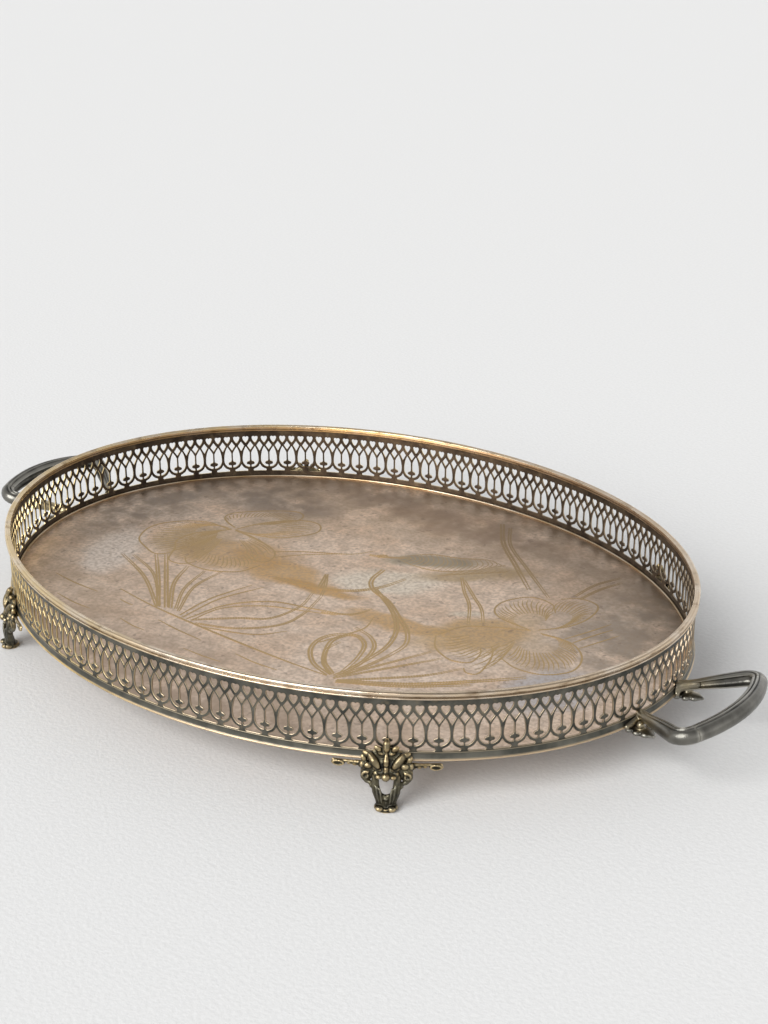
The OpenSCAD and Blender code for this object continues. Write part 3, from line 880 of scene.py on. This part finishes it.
def lump(bm, at, size, towards=None):
    """An egg-shaped lump, whose Z axis points in the direction given."""
    made = bmesh.ops.create_icosphere(bm, subdivisions=3, radius=1)["verts"]
    turn = Matrix.Identity(4)
    if towards:
        turn = Vector(towards).to_track_quat("Z", "Y").to_matrix().to_4x4()
    shape = Matrix.Translation(at) @ turn @ Matrix.Diagonal((*size, 1))
    bmesh.ops.transform(bm, matrix=shape, verts=made)


def strand(bm, points, radii):
    """A rounded strand through the points, thick and thin by turns."""
    for (a, ra), (b, rb) in zip(zip(points, radii), list(zip(points, radii))[1:]):
        a, b = Vector(a), Vector(b)
        steps = max(2, round((b - a).length / (0.45 * min(ra, rb))))
        for i in range(steps + 1):
            share = i / steps
            radius = ra + (rb - ra) * share
            made = bmesh.ops.create_icosphere(bm, subdivisions=2, radius=radius)["verts"]
            bmesh.ops.translate(bm, verts=made, vec=a.lerp(b, share))


def curl(bm, centre, radius, thick, start, end, depth, side):
    """A scroll: a strand that winds round a point in the face of the foot."""
    turns = [math.radians(start + (end - start) * i / 10) for i in range(11)]
    points = []
    radii = []
    for i, turn in enumerate(turns):
        r = radius * (1 - 0.06 * i)
        points.append((side * (centre[0] + r * math.cos(turn)), depth, centre[1] + r * math.sin(turn)))
        radii.append(thick * (1 - 0.04 * i))
    strand(bm, points, radii)


def fused(bm, voxel, rounds=2):
    """Loose lumps run together into one skin, as a casting is."""
    mesh = bpy.data.meshes.new("lumps")
    bm.to_mesh(mesh)
    bm.free()
    obj = bpy.data.objects.new("lumps", mesh)
    melt = obj.modifiers.new("melt", "REMESH")
    melt.mode = "VOXEL"
    melt.voxel_size = voxel
    soft = obj.modifiers.new("soft", "SMOOTH")
    soft.factor = 0.5
    soft.iterations = rounds
    return as_mesh(obj)


def mask_foot():
    """The casting in its own frame: X along the wall, -Y out, Z up from the table."""
    bm = bmesh.new()
    top = plate_low
    # Back plate of the mask, and the finial that climbs the gallery
    lump(bm, (0, -0.5, top + 2.2), (8.6, 2.0, 5.4))
    lump(bm, (0, -1.4, top - 0.4), (7.2, 2.6, 3.4))
    strand(bm, [(0, -0.6, top + 11.0), (0, -1.5, top + 9.8), (0, -2.4, top + 7.8), (0, -2.6, top + 6.0),
                (0, -2.9, top + 4.8), (0, -4.0, top + 2.2), (0, -4.3, top + 0.8), (0, -4.3, top - 0.4)],
           [1.1, 1.75, 1.6, 0.75, 0.8, 1.45, 1.35, 0.7])
    for side in (-1, 1):
        # Brow, small leaf above it, mane and cheek
        lump(bm, (side * 5.7, -3.2, top + 1.9), (1.8, 1.9, 4.6), (side * 4.4, 2.2, 5.4))
        lump(bm, (side * 4.0, -1.9, top + 7.4), (1.0, 1.3, 2.0), (side * 2.6, 0.4, 1.7))
        lump(bm, (side * 2.6, -1.9, top + 4.9), (0.8, 0.9, 1.9), (side * 2.6, 0.2, 1.2))
        lump(bm, (side * 8.6, -1.9, top + 4.4), (1.2, 1.4, 2.6), (side * 3.0, 0.6, 1.2))
        lump(bm, (side * 10.3, -1.7, top + 2.0), (1.3, 1.4, 2.2), (side * 1.2, 0, 2.4))
        lump(bm, (side * 8.2, -2.9, top - 0.7), (2.0, 1.7, 1.6))
        lump(bm, (side * 10.9, -1.9, top - 1.2), (1.4, 1.4, 1.8), (side * 0.6, 0, 2.0))
        # Eye socket's lower rim, nostril and cheek fold down to the jaw
        lump(bm, (side * 3.9, -3.6, top - 2.2), (1.0, 1.3, 2.4), (side * 3.0, 0.6, 1.2))
        lump(bm, (side * 3.2, -5.4, top - 5.2), (1.6, 1.4, 1.2))
        strand(bm, [(side * 4.4, -3.6, top - 4.4), (side * 4.3, -4.2, top - 8.2),
                    (side * 3.8, -4.8, top - 11.6), (side * 2.3, -5.2, top - 14.6), (0, -5.4, top - 15.7)],
               [1.6, 1.1, 0.95, 0.95, 1.1])
        # Ear curl with its stalk, tied to the jaw by a thin bridge
        strand(bm, [(side * 9.8, -1.8, top - 2.0), (side * 10.9, -2.0, top - 4.4),
                    (side * 10.6, -2.3, top - 7.0), (side * 9.0, -2.6, top - 9.2),
                    (side * 7.2, -3.2, top - 9.6)],
               [1.6, 1.1, 1.4, 1.2, 1.0])
        curl(bm, (9.3, top - 6.2), 2.0, 0.85, 110, -200, -3.1, side)
        # Leg: hip, calf and paw, with locks of hair down its front
        strand(bm, [(side * 4.9, -3.4, top - 6.0), (side * 5.0, -4.0, top - 10.2),
                    (side * 4.5, -4.2, top - 13.4), (side * 3.2, -4.1, top - 17.6),
                    (side * 2.8, -3.9, top - 20.4)],
               [1.7, 1.9, 2.05, 2.0, 1.9])
        # Knee, and the dark web behind cheek and ear
        lump(bm, (side * 6.3, -3.9, top - 10.6), (1.1, 1.5, 1.5), (side * 1.0, 0, 1.2))
        lump(bm, (side * 7.4, -1.9, top - 4.6), (2.7, 1.1, 3.9))
        for x, out, wide in ((5.7, 4.9, 0.7), (4.3, 5.8, 0.65), (2.9, 6.0, 0.6)):
            strand(bm, [(side * x, -out, top - 9.6 - 0.5 * (6 - x)),
                        (side * (x - 0.5), -out - 0.4, top - 13.6), (side * (0.62 * x), -out, top - 19.4)],
                   [wide, wide, 0.8 * wide])
        # Toes
        lump(bm, (side * 2.9, -7.0, 1.7), (1.9, 1.8, 1.45))
        lump(bm, (side * 4.2, -5.2, 1.6), (1.3, 1.9, 1.4))
    # Nose under its ringed bridge, the knot at the chin and the lock between the legs
    lump(bm, (0, -6.2, top - 4.9), (2.0, 1.9, 2.0))
    strand(bm, [(0, -4.4, top - 1.2), (0, -5.0, top - 2.8)], [1.25, 1.2])
    lump(bm, (0, -3.8, top - 4.6), (4.6, 2.2, 1.7))
    lump(bm, (0, -5.9, top - 16.2), (1.3, 1.0, 1.0))
    strand(bm, [(0, -5.2, 6.4), (0, -5.6, 4.6), (0, -5.2, 2.0)], [1.0, 1.0, 1.1])
    strand(bm, [(0, -3.8, 4.6), (0, -3.8, 1.8)], [2.5, 3.0])
    # Pad of the sole
    pad = bmesh.ops.create_cone(
        bm, cap_ends=True, segments=40, radius1=4.7, radius2=4.4, depth=1.7)["verts"]
    bmesh.ops.translate(bm, verts=pad, vec=(0, -3.6, 0.85))
    # Neck behind the mask and the lug under the plate
    strand(bm, [(0, 0.8, top - 1.4), (0, -2.2, top - 3.2)], [2.2, 2.8])
    lug = bmesh.ops.create_cube(bm, size=1)["verts"]
    bmesh.ops.scale(bm, verts=lug, vec=(18, 13.4, 1.95))
    bmesh.ops.translate(bm, verts=lug, vec=(0, 5.3, top - 1.0))
    wings(bm, top)
    bm = fused(bm, voxel=0.34)
    # The casting is filed flat where it stands
    cut_across(bm, (0, 0, 0), (0, 0, -1))
    bmesh.ops.holes_fill(bm, edges=[e for e in bm.edges if e.is_boundary])
    return bm


def wings(bm, top):
    """Scalloped scroll tabs that hang under the flange on both sides and bend back with the wall."""
    # Radius of the wall's bend at the feet, roughly
    wall_r = 190
    scallops = 14
    for side in (-1, 1):
        def on_wall(x, z, out=0.0):
            return (side * x, -1.3 - out + x * x / (2 * wall_r), z)
        strand(bm, [on_wall(8, top - 0.8), on_wall(16, top - 0.7), on_wall(24.5, top - 0.7)],
               [1.3, 0.75, 0.75])
        for x, radius, drop in ((11.6, 1.5, 1.9), (14.6, 1.2, 1.6), (17.2, 1.0, 1.4)):
            lump(bm, on_wall(x, top - drop), (radius * 1.2, 0.95, radius))
        lump(bm, on_wall(22.2, top - 1.8), (3.4, 0.85, 1.6))
        for i in range(scallops):
            turn = 2 * math.pi * i / scallops
            at = on_wall(22.2 + 2.3 * math.cos(turn), top - 1.8 + 1.1 * math.sin(turn), 0.6)
            lump(bm, at, (0.6, 0.6, 0.5))


def feet():
    """One casting, stood against the flange under the middle of a pierced unit in each quarter."""
    gold = cast_brass()
    casting = mask_foot()
    against = wall_frame((FOOT_UNIT + 0.5) * pitch) @ Matrix.Translation((edge_out, 0, 0))
    stance = against @ Matrix.Rotation(math.pi / 2, 4, "Z")
    for quarter, signs in QUARTERS.items():
        bm = casting.copy()
        bmesh.ops.transform(bm, matrix=in_quarter(signs) @ stance, verts=bm.verts[:])
        finish_piece(f"foot_{quarter}_cast", bm, [gold], "antique_brass", f"foot_{quarter}", sharp=80)
    casting.free()


# ---- Handles ----

grip_cx = HANDLE_REACH - GRIP_R
corner_swing = math.asin(CORNER_Y / (GRIP_R - CORNER_R))
corner_x = grip_cx + (GRIP_R - CORNER_R) * math.cos(corner_swing)
to_corner = Vector((corner_x - TENON_X, CORNER_Y - BRACKET_Y))
arm_spread = math.atan2(to_corner.y, to_corner.x) + math.asin(CORNER_R / to_corner.length)
arm_len = math.sqrt(to_corner.length ** 2 - CORNER_R ** 2)
pivot_x = wall_a * math.sqrt(1 - (BRACKET_Y / wall_b) ** 2)


def in_handle(signs):
    """The handle's sloping plane: X away from the tray, Y across it."""
    slope = Matrix.Translation((pivot_x, 0, plate_low + BAR_LIFT)) @ Matrix.Rotation(-HANDLE_TILT, 4, "Y")
    return in_quarter(signs) @ slope


def bar_frame(centre, radius, turn, scale=1.0):
    """A section's frame on an arc: section's X out of the bow, Y up."""
    c, s = math.cos(turn), math.sin(turn)
    place = (centre[0] + radius * c, centre[1] + radius * s)
    across = Matrix(((c, 0, -s, place[0]), (s, 0, c, place[1]), (0, 1, 0, 0), (0, 0, 0, 1)))
    return across @ Matrix.Diagonal((scale, scale, 1, 1))


def reeded_section(size):
    """Half round outside with a reed above and below it, a flat lip on each side of a hollow inside."""
    upper = [(-0.12, 0.22), (-0.30, 0.50), (-0.60, 0.58), (-0.78, 0.66), (-0.80, 0.78), (-0.70, 0.86),
             (-0.40, 0.94), (-0.30, 0.80), (-0.20, 0.93), (-0.06, 1.0), (0.10, 0.97), (0.18, 0.80),
             (0.28, 0.86), (0.38, 0.86)]
    bow = arc(0, 0, 1.0, 60, -60, 10)
    outline = upper + bow + [(x, -y) for x, y in reversed(upper)]
    return [(x * size / 2, y * size / 2) for x, y in outline]


def grips(pewter):
    """Each bow stops short of the bends, so that the joint shows as a fine groove."""
    gap = 0.3 / GRIP_R
    steps = 48
    for name, signs in (("right", (1, 1)), ("left", (-1, 1))):
        bm = bmesh.new()
        stations = []
        for i in range(steps + 1):
            share = -1 + 2 * i / steps
            scale = 0.94 + 0.06 * (1 - share ** 2)
            turn = share * (corner_swing - gap)
            stations.append(in_handle(signs) @ bar_frame((grip_cx, 0), GRIP_R, turn, scale))
        sweep(bm, reeded_section(GRIP_D), stations)
        finish_piece(f"grip_{name}_bowed", bm, [pewter], "dark_pewter", f"grip_{name}", sharp=50)


def arms(pewter):
    """Each arm is the bend at the end of a grip and the leg that runs from it to the bracket."""
    steps = 20
    c, s = math.cos(arm_spread), math.sin(arm_spread)
    leg = Matrix(((-s, 0, -c, TENON_X), (c, 0, -s, BRACKET_Y), (0, 1, 0, 0), (0, 0, 0, 1)))
    last = math.pi / 2 + arm_spread
    for name, signs in HANDLE_ENDS.items():
        base = in_handle(signs)
        bm = bmesh.new()
        bar = []
        for i in range(steps + 1):
            share = i / steps
            turn = corner_swing + (last - corner_swing) * share
            bar.append(base @ bar_frame((corner_x, CORNER_Y), CORNER_R, turn, 1.0 - 0.03 * share))
        # The leg runs on from the bend and thins towards the bracket
        for along, scale in ((0.85, 0.95), (0.65, 0.89), (0.45, 0.8), (0.28, 0.72), (0.12, 0.64),
                             (-0.3, 0.58)):
            station = base @ leg @ Matrix.Translation((0, 0, -along * arm_len))
            bar.append(station @ Matrix.Diagonal((scale, scale, 1, 1)))
        sweep(bm, reeded_section(ARM_D), bar)
        # Neck in the joint between bend and grip
        ring = bar_frame((grip_cx, 0), GRIP_R, corner_swing)
        stations = []
        for along in (-0.5, 0.5):
            station = base @ ring @ Matrix.Translation((0, 0, along))
            stations.append(station @ Matrix.Diagonal((0.88, 0.88, 1, 1)))
        sweep(bm, reeded_section(GRIP_D), stations)
        finish_piece(f"arm_{name}_reeded", bm, [pewter], "dark_pewter", f"arm_{name}",
                     sharp=50, clean=0.001)


def in_bracket():
    """The first bracket's frame: X out of the wall, Y along it, Z up from the table."""
    turn = math.asin(BRACKET_Y / wall_b)
    out = math.atan2(wall_a * math.sin(turn), wall_b * math.cos(turn))
    return Matrix.Translation((pivot_x, BRACKET_Y, 0)) @ Matrix.Rotation(out, 4, "Z")


def brackets(pewter):
    """Each arm springs from a flared root against the flange, over a cast leaf riveted under the plate."""
    top = plate_low
    c, s = math.cos(arm_spread), math.sin(arm_spread)
    voxel = 0.4
    root = bmesh.new()
    slope = in_handle((1, 1))
    trunk = [(slope @ Vector((TENON_X + c * t, BRACKET_Y + s * t, z))) for t, z in
             ((-8.0, -0.6), (-6.0, -0.3), (-4.0, 0), (-2.0, 0), (0, 0), (2.5, 0))]
    strand(root, trunk, [3.6, 3.1, 2.75, 2.5, 2.4, 2.3])
    wall = in_bracket()
    for side in (-1, 1):
        low = wall @ Vector((edge_out + 0.2, side * 6.4, top + 1.2))
        strand(root, [low, trunk[1] + Vector((0, 0, -0.4)), trunk[3]], [1.5, 1.9, 1.6])
    strand(root, [trunk[5] + Vector((0, 0, 0.4)), trunk[3] + Vector((0, 0, 1.8)),
                  trunk[1] + Vector((0, 0, 2.6))], [1.2, 1.0, 1.1])
    root = fused(root, voxel)
    out = wall.to_3x3() @ Vector((1, 0, 0))
    # The root ends against the flange
    cut_across(root, wall @ Vector((edge_out - 0.3, 0, 0)), -out)
    bmesh.ops.holes_fill(root, edges=[e for e in root.edges if e.is_boundary])
    leaf = bmesh.new()
    lump(leaf, (-2.0, 0, top - 1.4), (12, 3.4, 1.2))
    lump(leaf, (5.0, 0, top - 1.7), (7.6, 3.9, 2.0))
    strand(leaf, [(-14, 0, top - 1.9), (0, 0, top - 3.2), (7, 0, top - 3.6), (12.5, 0, top - 1.8)],
           [0.7, 0.8, 0.9, 0.8])
    for side in (-1, 1):
        for x, reach in ((-8, 3.2), (-3.6, 3.9), (0.8, 4.1), (5.2, 3.9), (9.0, 2.4)):
            lump(leaf, (x, side * reach, top - 1.7), (2.0, 1.3, 1.3), (side * 1.2, 2.0, 0))
    strand(leaf, [(4, 0, top - 1.0), (5, 1.0, top + 1.6)], [2.4, 2.0])
    bmesh.ops.transform(leaf, matrix=wall, verts=leaf.verts[:])
    leaf = fused(leaf, voxel)
    # Inside the flange the leaf lies flat against the plate
    seat = top - 0.02
    cut_across(leaf, (0, 0, seat), (0, 0, 1), drop=False)
    for vert in leaf.verts:
        if vert.co.z > seat + 0.01 and (vert.co - wall.translation).dot(out) < edge_out + 0.1:
            vert.co.z = seat
    for name, signs in HANDLE_ENDS.items():
        bm = root.copy()
        other = bpy.data.meshes.new("leaf")
        leaf.to_mesh(other)
        bm.from_mesh(other)
        bpy.data.meshes.remove(other)
        bmesh.ops.transform(bm, matrix=in_quarter(signs), verts=bm.verts[:])
        finish_piece(f"bracket_{name}_leaf", bm, [pewter], "dark_pewter", f"bracket_{name}", sharp=80)
    root.free()
    leaf.free()


# ---- Studio ----

def studio():
    """A canvas ground, a white room and one broad soft light."""
    scene = bpy.context.scene
    bm = bmesh.new()
    bmesh.ops.create_grid(bm, x_segments=1, y_segments=1, size=8)
    mesh = bpy.data.meshes.new("studio_floor")
    bm.to_mesh(mesh)
    bm.free()
    ground = bpy.data.objects.new("studio_floor", mesh)
    scene.collection.objects.link(ground)
    # Painted canvas, off-white and quite matt, with a fine weave
    material, where = new_material("matt painted canvas", Roughness=0.9)
    tint = coats(material, "#DCDCDB", ("#E0E0DF", grain(material, where, 1.4, 3)))
    surface(material, tint, bump=(grain(material, where, 1.2, 2), 0.12, 0.5))
    mesh.materials.append(material)

    # A white room, brighter low down than overhead, and one broad soft light in front to the left
    world = bpy.data.worlds.new("soft white room")
    scene.world = world
    world.use_nodes = True
    sky = world.node_tree.nodes["Background"]
    sky.inputs["Color"].default_value = colour("#F5F5F6")
    around = add_node(world, "ShaderNodeTexCoord").outputs["Generated"]
    level = add_node(world, "ShaderNodeSeparateXYZ", {0: around})
    glow = add_node(world, "ShaderNodeMapRange", {
        "Value": level.outputs["Z"], "From Min": 0, "From Max": 1, "To Min": 1.46, "To Max": 0.28})
    world.node_tree.links.new(glow.outputs["Result"], sky.inputs["Strength"])

    key = bpy.data.lights.new("window", "SUN")
    key.energy = 3.0
    key.angle = math.radians(44)
    lamp = bpy.data.objects.new("window", key)
    lamp.rotation_euler = Vector((-0.12, -1.0, 0.64)).to_track_quat("Z", "Y").to_euler()
    scene.collection.objects.link(lamp)

    scene.view_settings.view_transform = "Standard"


def camera():
    """A 61 mm lens, 23 degrees above the table and 38 degrees round from the tray's long side."""
    rise = math.radians(22.93)
    swing = Matrix.Rotation(math.radians(38.46), 4, "Z")
    distance, aside, above = 0.94316, 0.0239, 0.04496
    ahead = Vector((0, math.cos(rise), -math.sin(rise)))
    up = Vector((0, math.sin(rise), math.cos(rise)))
    right = Vector((1, 0, 0))
    seen_from = swing @ (-distance * ahead + aside * right + above * up)
    place = seen_from + Vector((0, 0, plate_low * MM))
    lens = bpy.data.cameras.new("camera")
    lens.lens = 61.24
    lens.sensor_width = 36
    lens.clip_start = 0.01
    eye = bpy.data.objects.new("camera", lens)
    axes = [swing @ v for v in (right, up, -ahead)]
    eye.matrix_world = Matrix.Translation(place) @ Matrix(axes).transposed().to_4x4()
    bpy.context.scene.collection.objects.link(eye)
    bpy.context.scene.camera = eye


camera()
studio()
gallery_pieces()
rims()
engraving()
feet()
pewter = handle_pewter()
grips(pewter)
arms(pewter)
brackets(pewter)

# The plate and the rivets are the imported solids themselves, with their own finishes
plate = silver_plate()
rivets = rivet_metal()
for name, finish in (("floor_plate", plate), ("foot_rivets", rivets), ("bracket_rivets", rivets)):
    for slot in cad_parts[name].material_slots:
        slot.material = finish

bpy.context.view_layer.update()
